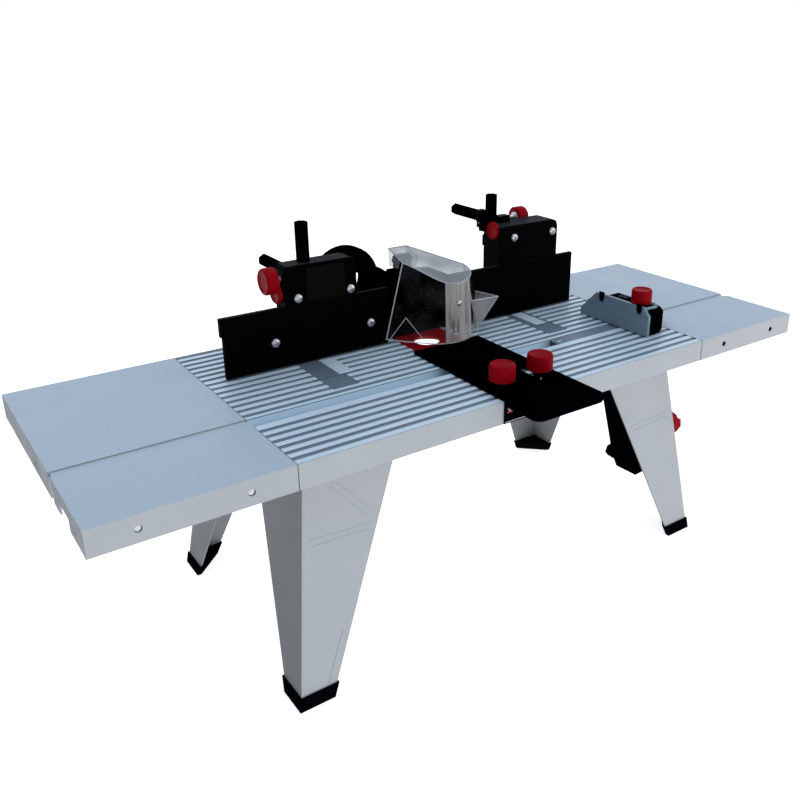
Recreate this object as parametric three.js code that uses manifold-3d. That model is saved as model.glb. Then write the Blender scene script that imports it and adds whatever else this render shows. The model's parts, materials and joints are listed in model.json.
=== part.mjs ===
// Benchtop router table: ribbed aluminium centre, two sheet-steel wings, four splayed legs, a sliding
// fence with guide towers and a clear bit guard, a front work support, a mitre gauge and a switch.
// Millimetres, +Z up. Inside the root group x and y run from the table's centre and z from its top.

import * as THREE from 'three';
import { ConvexGeometry } from 'three/addons/geometries/ConvexGeometry.js';
import { mergeVertices } from 'three/addons/utils/BufferGeometryUtils.js';
import Module from 'manifold-3d';

const wasm = await Module();
wasm.setup();

// ---- driving dimensions ----------------------------------------------------------------------
const TABLE_LENGTH = 850;
const TABLE_DEPTH = 296;
const TABLE_HEIGHT = 254;
const CENTRE_LENGTH = 511;
const SKIRT_HEIGHT = 24.4;
const SHEET = 1.5;
const GAP = 0.3;

const TOP_THICKNESS = 4;
const RIB_PITCH = 12.7;
const RIB_WIDTH = 6.6;
const RIB_HEIGHT = 1;

const SLOT_Y = -51.8;
const SLOT_WIDTH = 18.4;
const SLOT_DEPTH = 9.5;
const SLOT_WALL = 2;
const WING_GROOVE = { front: -52.2, rear: -42.2, depth: 3.2 };

const LEG_CORNER_TOP = { x: 232.2, y: 108.9 };
const LEG_CORNER_BOTTOM = { x: 268.5, y: 146.5 };
const LEG_FRONT_WIDTH = { top: 107.1, bottom: 33.3 };
const LEG_SIDE_WIDTH = { top: 115.5, bottom: 31.8 };
const LEG_SHEET = 1.6;
const FOOT_HEIGHT = 14;

const INSERT = { x: 1.5, y: 38, width: 66, depth: 60, thickness: 3 };
const BIT = { x: -2, y: 36, r: 14.5 };

const PLATE = { left: -38.8, right: 50, front: -198.5, rear: 7.5, thickness: 3.6, lip: 7, cornerR: 9 };
const PLATE_TRAVEL = 22;
const PLATE_KNOB = { x: 2.7, spread: 24.6, y: -124.5, bottom: 11, height: 17, r: 13.4 };

const FENCE_Y = 54;
const BOARD = { thickness: 5, height: 65, outer: 236, inner: 42 };
const WALL_Y = FENCE_Y + BOARD.thickness + GAP;
const FENCE_WALL = 4;
const FENCE_FOOT_REAR = 134;
const FENCE_RIBS = [{ ribX: 216, depth: 17 }, { ribX: 150, depth: 38 }];
const BOARD_TRAVEL = 24;
const BOARD_SCREWS = { '-1': [-178.5, -64.6], 1: [56, 178.5] };

const HEX = 12.4;
const KNOB_R = 13;
const STUD_R = 3;

const LEFT_TOWER = { x0: -165, x1: -80.5, top: 107, rear: 76, sideRear: 75.5 };
const RIGHT_TOWER = { x0: 115.5, x1: 208.5, top: 112, rear: 84 };
const LEFT_POST = { x: -136, y: 66, bottom: 66.5, top: 148.5 };
const LEFT_ARM = { x: -152.5, z: 97.5, front: 58, rear: 128 };
const RIGHT_POST = { x: 123, y: 80, bottom: 80, top: 147 };
const RIGHT_ARM = { x: 110, z: 121.7, front: 70, rear: 136 };

const LEFT_POST_KNOB = { y: 66.7, z: 77.5, seat: -165.7, reach: 23, height: 5.4, r: 11.2 };
const LEFT_ARM_KNOB = { y: 62, z: 93, seat: -171.5, reach: 12.3, height: 13, r: 14 };
const RIGHT_POST_KNOB = { y: 65.5, z: 106.5, seat: 117.2, reach: 14, height: 5, r: 10.4 };
const RIGHT_ARM_KNOB = { y: 97.2, z: 110.5, seat: 174.5, reach: 57, height: 14, r: 12.4 };

const PORT = { x: -66, z: 63.5, flangeR: 41.5, tubeR: 31, boreR: 28, rear: 126 };
const HOOD = { x0: -110, x1: 47, rear: 102, wall: 3 };
const GUARD = { pivotY: 76, pivotZ: 88, wall: 2, bottom: 5 };

const MITRE_KNOB = { x: 223.5, y: -79.5, seat: 34.4, height: 16, r: 12 };
const MITRE = { faceX: 209.9, pivotX: 224, barLeft: 113, barRight: 250, headR: 50, wallTop: 29.8 };

// ---- materials -------------------------------------------------------------------------------
function material(color, roughness, metalness = 0, extra = {}) {
  return new THREE.MeshStandardMaterial({ color, roughness, metalness, ...extra });
}
const ALUMINIUM = () => material(0xaebccb, 0.38, 0.9);
const FACE_ALUMINIUM = () => material(0x66727c, 0.42, 0.8);
const PAINT = () => material(0xd6d6d2, 0.4);
const STEEL = () => material(0x8e9499, 0.35, 0.9);
const BLACK = () => material(0x111214, 0.45);
const RUBBER = () => material(0x0c0c0d, 0.8);
const RED = () => material(0xb00a18, 0.35);
const CLEAR = () => material(0xdfe8ee, 0.08, 0, { transparent: true, opacity: 0.35 });

// ---- solids ----------------------------------------------------------------------------------
function solid(geometry) {
  const bare = geometry.clone();
  bare.deleteAttribute('normal');
  bare.deleteAttribute('uv');
  const merged = mergeVertices(bare, 1e-4);
  const vertProperties = new Float32Array(merged.attributes.position.array);
  const triVerts = new Uint32Array(merged.index.array);
  return new wasm.Manifold(new wasm.Mesh({ numProp: 3, vertProperties, triVerts }));
}

function unite(...solids) {
  return solids.reduce((whole, next) => whole.add(next));
}

function geometryOf(manifold) {
  const mesh = manifold.getMesh();
  const geometry = new THREE.BufferGeometry();
  geometry.setAttribute('position', new THREE.BufferAttribute(new Float32Array(mesh.vertProperties), 3));
  geometry.setIndex(new THREE.BufferAttribute(new Uint32Array(mesh.triVerts), 1));
  return geometry;
}

function box(x0, x1, y0, y1, z0, z1) {
  const geometry = new THREE.BoxGeometry(x1 - x0, y1 - y0, z1 - z0);
  geometry.translate((x0 + x1) / 2, (y0 + y1) / 2, (z0 + z1) / 2);
  return solid(geometry);
}

function hull(points) {
  return solid(new ConvexGeometry(points.map(([x, y, z]) => new THREE.Vector3(x, y, z))));
}

// Outline points are [a, b] pairs; the prism runs along the named axis from start to end.
function prism(axis, outline, start, end) {
  const shape = new THREE.Shape(outline.map(([a, b]) => new THREE.Vector2(a, b)));
  const geometry = new THREE.ExtrudeGeometry(shape, { depth: end - start, bevelEnabled: false });
  const X = new THREE.Vector3(1, 0, 0);
  const Y = new THREE.Vector3(0, 1, 0);
  const Z = new THREE.Vector3(0, 0, 1);
  const basis = new THREE.Matrix4();
  if (axis === 'x') basis.makeBasis(Y, Z, X).setPosition(start, 0, 0);
  if (axis === 'y') basis.makeBasis(X, Z, Y.clone().negate()).setPosition(0, end, 0);
  if (axis === 'z') basis.setPosition(0, 0, start);
  geometry.applyMatrix4(basis);
  return solid(geometry);
}

// A round bar along an axis through (a, b): (y, z) for x, (x, z) for y and (x, y) for z.
function rod(axis, a, b, radius, start, end, sides = 20, turn = 0) {
  const outline = [];
  for (let i = 0; i < sides; i++) {
    const angle = (2 * Math.PI * i) / sides + turn;
    outline.push([a + radius * Math.cos(angle), b + radius * Math.sin(angle)]);
  }
  return prism(axis, outline, start, end);
}

function hexBar(axis, a, b, start, end, clearance = 0) {
  return rod(axis, a, b, (HEX / 2 + clearance) / Math.cos(Math.PI / 6), start, end, 6, Math.PI / 6);
}

const root = new THREE.Group();

function piece(name, manifold, finish, parent = root) {
  const mesh = new THREE.Mesh(geometryOf(manifold), finish);
  mesh.name = name;
  parent.add(mesh);
  return mesh;
}

// ---- table top, skirts and rails --------------------------------------------------------------
const HALF_DEPTH = TABLE_DEPTH / 2;
const HALF_CENTRE = CENTRE_LENGTH / 2;
const SLOT_FRONT = SLOT_Y - SLOT_WIDTH / 2;
const SLOT_REAR = SLOT_Y + SLOT_WIDTH / 2;

// Clears the slot trough out of whatever stands under it.
function troughClearance(x0, x1) {
  return box(x0, x1, SLOT_FRONT - SLOT_WALL - 1, SLOT_REAR + SLOT_WALL + 1, -SLOT_DEPTH - SLOT_WALL - 1, 1);
}

// The ribs' [front, rear] edges across the table; those beside the slot run up to its edge.
function ribLands(y) {
  const lands = [];
  for (let front = -y; front < y - 2; front += RIB_PITCH) {
    const rear = Math.min(front + RIB_WIDTH, y);
    if (rear > SLOT_FRONT - 3 && front < SLOT_FRONT) lands.push([front, SLOT_FRONT]);
    else if (front < SLOT_REAR + 3 && rear > SLOT_REAR) lands.push([SLOT_REAR, rear]);
    else if (rear < SLOT_FRONT || front > SLOT_REAR) lands.push([front, rear]);
  }
  return lands;
}

function topOutline(y) {
  const outline = [[-y, -TOP_THICKNESS]];
  for (const [front, rear] of ribLands(y)) {
    if (front === SLOT_REAR) outline.push([SLOT_FRONT, -SLOT_DEPTH], [SLOT_REAR, -SLOT_DEPTH]);
    else if (front !== -y) outline.push([front, -RIB_HEIGHT]);
    outline.push([front, 0], [rear, 0]);
    if (rear !== SLOT_FRONT && rear !== y) outline.push([rear, -RIB_HEIGHT]);
  }
  outline.push([y, -TOP_THICKNESS]);
  const under = -SLOT_DEPTH - SLOT_WALL;
  outline.push([SLOT_REAR + SLOT_WALL, -TOP_THICKNESS], [SLOT_REAR + SLOT_WALL, under]);
  outline.push([SLOT_FRONT - SLOT_WALL, under], [SLOT_FRONT - SLOT_WALL, -TOP_THICKNESS]);
  return outline;
}

// The block the insert plate fills, grown sideways by a clearance.
function insertBox(grow, z0, z1) {
  const halfX = INSERT.width / 2 + grow;
  const halfY = INSERT.depth / 2 + grow;
  return box(INSERT.x - halfX, INSERT.x + halfX, INSERT.y - halfY, INSERT.y + halfY, z0, z1);
}

function tableTop() {
  const x = HALF_CENTRE - GAP;
  const y = HALF_DEPTH - SHEET - GAP;
  let top = prism('x', topOutline(y), -x, x);
  top = top.subtract(insertBox(GAP, -9, 1));
  for (const side of [-1, 1]) {
    const scale = box(side * 142 - 15, side * 142 + 15, -28, 74, -RIB_HEIGHT - 0.2, 1);
    const fenceSlot = box(side * 175 - 3.5, side * 175 + 3.5, 88, 132, -9, 1);
    const studHole = rod('z', PLATE_KNOB.x + side * PLATE_KNOB.spread, PLATE_KNOB.y, STUD_R + 0.2, -9, 1, 12);
    top = top.subtract(scale).subtract(fenceSlot).subtract(studHole);
  }
  return top;
}

function apron(side) {
  const outer = side * HALF_DEPTH;
  const inner = outer - side * SHEET;
  const lip = outer - side * 11;
  const x = HALF_CENTRE - GAP;
  const web = box(-x, x, Math.min(outer, inner), Math.max(outer, inner), -SKIRT_HEIGHT, 0);
  const flange = box(-x, x, Math.min(outer, lip), Math.max(outer, lip), -SKIRT_HEIGHT, -SKIRT_HEIGHT + SHEET);
  return web.add(flange);
}

function rail(side) {
  const y = HALF_DEPTH - 12;
  const x0 = side * (HALF_CENTRE - GAP);
  const x1 = side * (HALF_CENTRE - GAP - SHEET);
  const x2 = side * (HALF_CENTRE - GAP - 16);
  const web = box(Math.min(x0, x1), Math.max(x0, x1), -y, y, -SKIRT_HEIGHT, -TOP_THICKNESS - GAP);
  const zTop = -TOP_THICKNESS - GAP;
  const flange = box(Math.min(x0, x2), Math.max(x0, x2), -y, y, zTop - SHEET, zTop);
  return web.add(flange).subtract(troughClearance(-300, 300));
}

// ---- wings ------------------------------------------------------------------------------------
function wing(side) {
  const inner = HALF_CENTRE + GAP;
  const outer = TABLE_LENGTH / 2;
  const y = HALF_DEPTH;
  const tray = box(inner, outer, -y, y, -SKIRT_HEIGHT, 0);
  const hollow = box(inner + SHEET, outer - SHEET, -y + SHEET, y - SHEET, -SKIRT_HEIGHT - 1, -SHEET);
  const { front, rear, depth } = WING_GROOVE;
  const groove = box(inner, outer, front - SHEET, rear + SHEET, -depth - SHEET, 0);
  let sheet = tray.subtract(hollow).add(groove);
  sheet = sheet.subtract(box(inner - 1, outer + 1, front, rear, -depth, 1));
  sheet = sheet.subtract(box(inner - 1, inner + 5, front, rear, -SKIRT_HEIGHT - 1, -depth - SHEET));
  sheet = sheet.subtract(box(outer - 5, outer + 1, front, rear, -SKIRT_HEIGHT - 1, -depth - SHEET));
  sheet = sheet.subtract(box(outer - 5, outer + 1, -103, -73, -SKIRT_HEIGHT - 1, -13));
  for (const holeX of [296.5, 386.5]) {
    sheet = sheet.subtract(rod('y', holeX, -12.5, 3.2, -y - 1, y + 1, 12));
  }
  for (const holeY of [-123, 9, 131.5]) {
    sheet = sheet.subtract(rod('x', holeY, -14, 2.6, inner - 1, outer + 1, 12));
  }
  return side > 0 ? sheet : sheet.mirror([1, 0, 0]);
}

// ---- legs -------------------------------------------------------------------------------------
// Every leg is the rear-right leg's shape, mirrored: its corner edge splays outwards in x and y.
function legCorner(z, grow = 0) {
  const t = -z / TABLE_HEIGHT;
  return {
    x: THREE.MathUtils.lerp(LEG_CORNER_TOP.x, LEG_CORNER_BOTTOM.x, t) + grow,
    y: THREE.MathUtils.lerp(LEG_CORNER_TOP.y, LEG_CORNER_BOTTOM.y, t) + grow,
    front: THREE.MathUtils.lerp(LEG_FRONT_WIDTH.top, LEG_FRONT_WIDTH.bottom, t) + 2 * grow,
    side: THREE.MathUtils.lerp(LEG_SIDE_WIDTH.top, LEG_SIDE_WIDTH.bottom, t) + 2 * grow,
  };
}

function legBandCorners(zTop, zBottom, widthTop, grow, sheet) {
  const frontPlate = [];
  const sidePlate = [];
  for (const [z, widths] of [[zTop, widthTop], [zBottom, legCorner(zBottom, grow)]]) {
    const c = legCorner(z, grow);
    for (const dy of [0, sheet]) {
      frontPlate.push([c.x, c.y - dy, z], [c.x - widths.front, c.y - dy, z]);
    }
    for (const dx of [0, sheet]) {
      sidePlate.push([c.x - dx, c.y, z], [c.x - dx, c.y - widths.side, z]);
    }
  }
  return { frontPlate, sidePlate };
}

function legBand(zTop, zBottom, widthTop, grow, sheet) {
  const { frontPlate, sidePlate } = legBandCorners(zTop, zBottom, widthTop, grow, sheet);
  return hull(frontPlate).add(hull(sidePlate));
}

const LEG_SHOULDER = -28;
const LEG_TOP = -TOP_THICKNESS - GAP;
const LEG_BOTTOM = -TABLE_HEIGHT + 2.5;

function leg(right, rear) {
  let shape = legBand(LEG_SHOULDER, LEG_BOTTOM, legCorner(LEG_SHOULDER), 0, LEG_SHEET);
  shape = shape.add(legBand(LEG_TOP, LEG_SHOULDER - 0.01, legCorner(LEG_SHOULDER), 0, LEG_SHEET));
  const top = legCorner(LEG_TOP);
  shape = shape.add(box(top.x - 96, top.x - 1, top.y - 22, top.y - 1, LEG_TOP - LEG_SHEET, LEG_TOP));
  shape = shape.add(box(top.x - 22, top.x - 1, top.y - 96, top.y - 1, LEG_TOP - LEG_SHEET, LEG_TOP));
  if (!right) shape = shape.mirror([1, 0, 0]);
  if (!rear) shape = shape.mirror([0, 1, 0]);
  const side = right ? 1 : -1;
  shape = shape.subtract(box(side * 175 - 5, side * 175 + 5, 86, 134, -12, 0));
  return shape.subtract(troughClearance(-300, 300));
}

function footCap(right, rear) {
  const top = -TABLE_HEIGHT + FOOT_HEIGHT;
  const wall = 1.7;
  const thickness = LEG_SHEET + 2 * wall;
  const { frontPlate, sidePlate } = legBandCorners(top, -TABLE_HEIGHT, legCorner(top, wall), wall, thickness);
  let cap = hull([...frontPlate, ...sidePlate]);
  cap = cap.subtract(legBand(top + 2, LEG_BOTTOM - GAP, legCorner(top + 2, GAP), GAP, LEG_SHEET + 2 * GAP));
  if (!right) cap = cap.mirror([1, 0, 0]);
  if (!rear) cap = cap.mirror([0, 1, 0]);
  return cap;
}

// ---- insert and router mounting plate -----------------------------------------------------------
function insertPlate() {
  const { thickness } = INSERT;
  return insertBox(0, -thickness, 0).subtract(rod('z', BIT.x, BIT.y, BIT.r, -thickness - 1, 1, 32));
}

function mountingPlate() {
  const z0 = -TOP_THICKNESS - GAP;
  const reach = 78;
  const depth = 58;
  let plate = box(INSERT.x - reach, INSERT.x + reach, INSERT.y - depth, INSERT.y + depth, z0 - 3, z0);
  plate = plate.subtract(rod('z', BIT.x, BIT.y, 24, z0 - 4, z0 + 1, 28));
  const ledge = insertBox(-3, z0 - 1, -INSERT.thickness - GAP);
  plate = plate.add(ledge.subtract(rod('z', BIT.x, BIT.y, 24, z0 - 4, z0 + 9, 28)));
  return plate;
}

function labelPlate() {
  return box(-38, 38, -HALF_DEPTH - GAP - 1, -HALF_DEPTH - GAP, -SKIRT_HEIGHT + 0.5, -1);
}

// ---- front work support -------------------------------------------------------------------------
// The support's plan outline, with rounded front corners, shrunk by an inset.
function supportOutline(inset) {
  const { left, right, front, rear, cornerR } = PLATE;
  const r = cornerR - inset;
  const y = front + cornerR;
  const outline = [[right - inset, rear], [left + inset, rear]];
  for (const [cx, start] of [[left + cornerR, Math.PI], [right - cornerR, 1.5 * Math.PI]]) {
    for (let i = 0; i <= 4; i++) {
      const angle = start + (i * Math.PI) / 8;
      outline.push([cx + r * Math.cos(angle), y + r * Math.sin(angle)]);
    }
  }
  return outline;
}

function workSupport() {
  const { left, right, front, rear, thickness, lip } = PLATE;
  let plate = prism('z', supportOutline(0), GAP, thickness);
  const skirt = prism('z', supportOutline(0), thickness - lip - 0.4, thickness);
  const inside = prism('z', supportOutline(2.5), -20, thickness - 2.4);
  const behind = box(left - 1, right + 1, -HALF_DEPTH - 3 - GAP, rear + 1, -20, GAP);
  plate = plate.add(skirt.subtract(inside).subtract(behind));
  for (const side of [-1, 1]) {
    const slotX = PLATE_KNOB.x + side * PLATE_KNOB.spread;
    const y0 = PLATE_KNOB.y - STUD_R - 6;
    const y1 = PLATE_KNOB.y + PLATE_TRAVEL + STUD_R + 4;
    const halfSlot = STUD_R + 2.4;
    plate = plate.subtract(box(slotX - halfSlot, slotX + halfSlot, y0, y1, -1, thickness + 1));
    const grooveX = side < 0 ? left + 8 : right - 8;
    const groove = box(grooveX - 2.5, grooveX + 2.5, front + 10, rear - 8, thickness - 1, thickness + 1);
    plate = plate.subtract(groove);
  }
  return plate;
}

// ---- knobs --------------------------------------------------------------------------------------
// A clamp knob with its stud, pointing out of the work along the axis; reach is the stud's length.
function knob(axis, a, b, seat, outward, height, reach, radius = KNOB_R) {
  const s = outward;
  const span = (from, to) => [seat + s * from, seat + s * to].sort((low, high) => low - high);
  const grip = rod(axis, a, b, radius, ...span(0, height - 2), 24);
  const crown = rod(axis, a, b, radius - 1.8, ...span(height - 2.1, height), 24);
  const stud = rod(axis, a, b, STUD_R, ...span(-reach, 0.5), 12);
  return unite(grip, crown, stud);
}

// ---- fence --------------------------------------------------------------------------------------
function fenceBase() {
  const rear = WALL_Y + FENCE_WALL;
  let base = box(-226, 226, WALL_Y, rear, GAP, BOARD.height - 1.5);
  const foot = [[-226, WALL_Y], [226, WALL_Y], [226, 72]];
  foot.push([176, FENCE_FOOT_REAR], [-176, FENCE_FOOT_REAR], [-226, 72]);
  base = base.add(prism('z', foot, GAP, 3.5));
  base = base.subtract(box(-BOARD.inner + 2, BOARD.inner - 2, WALL_Y - 1, rear + 1, -1, 80));
  base = base.subtract(box(HOOD.x0 - GAP, HOOD.x1 + GAP, rear - 1, HOOD.rear + GAP, -1, 20));
  for (const side of [-1, 1]) {
    for (const { ribX, depth } of FENCE_RIBS) {
      const x = side * ribX;
      const y0 = rear - 0.5;
      base = base.add(prism('x', [[y0, 3], [y0 + depth, 3], [y0 + depth, 6], [y0, 55]], x - 1.5, x + 1.5));
    }
    base = base.subtract(rod('z', side * 175, 110, STUD_R + 0.6, -1, 5, 12));
  }
  for (const board of [-1, 1]) {
    for (const screwX of BOARD_SCREWS[board]) {
      const x0 = Math.min(screwX, screwX + board * BOARD_TRAVEL) - 3;
      const x1 = Math.max(screwX, screwX + board * BOARD_TRAVEL) + 3;
      base = base.subtract(box(x0, x1, WALL_Y - 1, rear + 1, 26, 32));
    }
  }
  return base;
}

function fenceBoard(side) {
  const { thickness, height, outer, inner } = BOARD;
  const x0 = Math.min(side * outer, side * inner);
  const x1 = Math.max(side * outer, side * inner);
  let board = box(x0, x1, FENCE_Y, FENCE_Y + thickness, GAP + 0.3, height + 0.3);
  const step = side < 0 ? box(x0 - 1, x0 + 2.4, FENCE_Y - 1, FENCE_Y + 9, -1, 46) : null;
  if (step) board = board.subtract(step);
  for (const screwX of BOARD_SCREWS[side]) {
    board = board.add(rod('y', screwX, 29, 2.6, FENCE_Y + thickness - 0.5, WALL_Y + FENCE_WALL + 2, 10));
    board = board.add(rod('y', screwX, 29, 5.4, WALL_Y + FENCE_WALL + 0.4, WALL_Y + FENCE_WALL + 4, 6));
  }
  return board;
}

const TOWER_FOOT = BOARD.height - 1.5 + GAP;
const TOWER_LIP = BOARD.height + 0.6 + GAP;

function towerFoot(shape) {
  return shape.subtract(box(-300, 300, FENCE_Y - 1, WALL_Y, 0, TOWER_LIP));
}

// The wall of a guide block behind the fence wall, hanging down over the joint with the fence base.
function backLip(x0, x1, rear, z0) {
  return box(x0, x1, WALL_Y + FENCE_WALL + 8, rear, z0, TOWER_FOOT + 1);
}

function leftTower() {
  const { x0, x1, top, rear, sideRear } = LEFT_TOWER;
  const r = 4;
  const outline = [[x0, TOWER_FOOT], [x1, TOWER_FOOT], [x1, top - 2 * r], [x1 - 0.6 * r, top - 0.6 * r]];
  outline.push([x1 - 2 * r, top], [x0 + r, top], [x0, top - r]);
  let block = prism('y', outline, FENCE_Y, rear).add(backLip(x0, HOOD.x0 - 2, rear, 53));
  block = block.subtract(box(x0 - 1, -146, sideRear, rear + 1, 0, top + 1));
  block = block.subtract(box(-139.4, -93.7, FENCE_Y - 1, FENCE_Y + 1, TOWER_FOOT + 3, top - 4));
  block = block.subtract(hexBar('z', LEFT_POST.x, LEFT_POST.y, TOWER_FOOT + 2.2, top + 1, GAP));
  block = block.subtract(hexBar('y', LEFT_ARM.x, LEFT_ARM.z, LEFT_ARM.front - 1, rear, GAP));
  block = block.subtract(studHole(LEFT_POST_KNOB, x0 - 1, LEFT_POST.x));
  block = block.subtract(studHole(LEFT_ARM_KNOB, x0 - 1, LEFT_ARM.x));
  return towerFoot(block);
}

function studHole(spec, start, end) {
  return rod('x', spec.y, spec.z, STUD_R + 0.3, start, end, 12);
}

function rightTower() {
  const { x0, x1, top, rear } = RIGHT_TOWER;
  const outline = [[x0, TOWER_FOOT], [x1, TOWER_FOOT], [x1, top - 8]];
  outline.push([x1 - 2.4, top - 2.4], [x1 - 8, top], [x0, top]);
  let block = prism('y', outline, FENCE_Y, rear).add(backLip(x0, x1, rear, 49));
  block = block.add(box(x0 + 1.5, 131, rear - 0.5, rear + 4.8, 84, 97));
  block = block.add(box(x0 - 8, 118, 76.6, rear, 104, 118));
  block = block.add(box(130.8, 147, 73, rear, top - 1, 120));
  block = block.add(rod('y', RIGHT_ARM.x, RIGHT_ARM.z, 8.8, 76.6, rear, 20));
  block = block.add(box(118, 140, rear - 1, 102, 104, 116.6));
  block = block.subtract(hexBar('z', RIGHT_POST.x, RIGHT_POST.y, RIGHT_POST.bottom - 1, 130, GAP));
  block = block.subtract(hexBar('y', RIGHT_ARM.x, RIGHT_ARM.z, 60, 110, GAP));
  block = block.subtract(rod('x', RIGHT_POST_KNOB.y, RIGHT_POST_KNOB.z, 10.8, x0 - 1, 117.5, 24));
  block = block.subtract(studHole(RIGHT_POST_KNOB, x0 - 1, x0 + 20));
  block = block.subtract(studHole(RIGHT_ARM_KNOB, 116, 141));
  return towerFoot(block);
}

// ---- dust hood and port -------------------------------------------------------------------------
function hoodOutline(inset) {
  const { x0, x1 } = HOOD;
  const low = GAP + inset;
  return [
    [x0 + inset, low],
    [x1 - inset, low],
    [x1 - inset, 64 - inset],
    [6, 69 - inset],
    [-22, 69 - inset],
    [-27 - inset, 73 - inset],
    [-43 - inset, 85 - inset],
    [-59, 88 - inset],
    [x0 + inset + 6, 88 - inset],
    [x0 + inset, 80 - inset],
  ];
}

// The hood steps down where it passes under the left guide block.
function hoodSolid(inset, front, rear) {
  const under = 63.4 - inset;
  const stepRight = LEFT_TOWER.x1 + GAP + inset;
  const step = box(HOOD.x0 - 1, stepRight, front - 1, LEFT_TOWER.rear + GAP + inset, under, 99);
  return prism('y', hoodOutline(inset), front, rear).subtract(step);
}

function dustHood() {
  const front = WALL_Y + FENCE_WALL + GAP;
  const { rear, wall } = HOOD;
  const hood = hoodSolid(0, front, rear).subtract(hoodSolid(wall, front - 1, rear - wall));
  return hood.subtract(rod('y', PORT.x, PORT.z - 8, PORT.boreR - 2, rear - wall - 1, rear + 1, 28));
}

function dustPort() {
  const front = HOOD.rear + GAP;
  const flange = rod('y', PORT.x, PORT.z, PORT.flangeR, front, front + 9, 36);
  const tube = rod('y', PORT.x, PORT.z, PORT.tubeR, front, PORT.rear, 36);
  return flange.add(tube).subtract(rod('y', PORT.x, PORT.z, PORT.boreR, front - 1, PORT.rear + 1, 36));
}

// ---- bit guard ----------------------------------------------------------------------------------
// The guard's plan outline at the table, from its left rear corner round the front to the right.
const GUARD_BASE = [
  [-45.5, 53.3], [-21, 22.5], [-10, 9.5], [2, 3], [14, 0.5], [27, 3], [41, 8.5], [54, 14], [61, 22],
];
const GUARD_ROOF = [
  [-21.5, 54], [-14, 33], [-5, 15], [4, 5.5], [14, 2], [27, 4], [38, 9.5], [46, 19], [45, 54],
];
const GUARD_TOP_Z = [90, 86, 79, 74, 72.5, 73.5, 76, 79, 90];

function guard() {
  const { wall, bottom } = GUARD;
  const inward = (p, amount) => {
    const dx = 12 - p[0];
    const dy = 40 - p[1];
    const length = Math.hypot(dx, dy);
    return [p[0] + (dx / length) * amount, p[1] + (dy / length) * amount];
  };
  let shell = null;
  for (let i = 0; i + 1 < GUARD_BASE.length; i++) {
    const points = [];
    for (const k of [i, i + 1]) {
      for (const amount of [0, wall]) {
        points.push([...inward(GUARD_BASE[k], amount), bottom]);
        points.push([...inward(GUARD_ROOF[k], amount), GUARD_TOP_Z[k]]);
      }
    }
    const panel = hull(points);
    shell = shell ? shell.add(panel) : panel;
  }
  for (let i = 0; i + 1 < GUARD_ROOF.length; i++) {
    const points = [];
    for (const k of [i, i + 1]) {
      points.push([...GUARD_ROOF[k], GUARD_TOP_Z[k]], [...GUARD_ROOF[k], GUARD_TOP_Z[k] - wall]);
    }
    points.push([10, 54, 90], [10, 54, 90 - wall]);
    shell = shell.add(hull(points));
  }
  const roofTail = hull([
    [-21.5, 53.9, 90], [45, 53.9, 90], [4, 86, 100], [-20, 86, 100],
    [-21.5, 53.9, 88], [45, 53.9, 88], [4, 86, 98], [-20, 86, 98],
  ]);
  shell = shell.add(roofTail);
  for (const x of [-20, 2]) {
    const cheek = hull([
      [x, 62, 92], [x + 2, 62, 92], [x, 85, 99], [x + 2, 85, 99],
      [x, 70, 82], [x + 2, 70, 82], [x, 82, 82], [x + 2, 82, 82],
    ]);
    shell = shell.add(cheek);
  }
  const ear = hull([
    [49, 22.5, 41], [91, 22.5, 39], [80, 53, 40], [52, 53, 41],
    [59, 23, bottom], [61, 26, bottom], [58, 26, bottom],
  ]);
  const earHollow = hull([
    [51, 24.5, 43], [87, 24.5, 43], [78.5, 51, 43], [53, 53.5, 43], [78, 53.5, 43],
    [59.8, 26, 12], [59.5, 30, 12],
  ]);
  shell = shell.add(ear.subtract(earHollow));
  return shell.subtract(rod('x', GUARD.pivotY, GUARD.pivotZ, 2.3, -30, 20, 16));
}

function guardBracket() {
  const x0 = -17.5;
  const x1 = 1.5;
  const foot = box(x0, x1, 67, 96, 69 + GAP, 73);
  const post = box(x0, x1, 71, 81, 72, GUARD.pivotZ);
  const barrel = rod('x', GUARD.pivotY, GUARD.pivotZ, 6, x0, x1, 20);
  const bore = rod('x', GUARD.pivotY, GUARD.pivotZ, 2.3, x0 - 1, x1 + 1, 16);
  return unite(foot, post, barrel).subtract(bore);
}

// ---- mitre gauge --------------------------------------------------------------------------------
function mitreBar() {
  const z0 = -SLOT_DEPTH + GAP;
  const y0 = SLOT_FRONT + 0.3;
  const y1 = SLOT_REAR - 0.3;
  const r = 6;
  const outline = [[MITRE.barRight, y0], [MITRE.barRight, y1], [MITRE.barLeft + r, y1]];
  outline.push([MITRE.barLeft + 1.7, y1 - 1.7], [MITRE.barLeft, y1 - r], [MITRE.barLeft, y0 + r]);
  outline.push([MITRE.barLeft + 1.7, y0 + 1.7], [MITRE.barLeft + r, y0]);
  let bar = prism('z', outline, z0, -0.6);
  bar = bar.add(rod('z', MITRE.pivotX, SLOT_Y, 4, -1, 22, 16));
  return bar;
}

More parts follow.
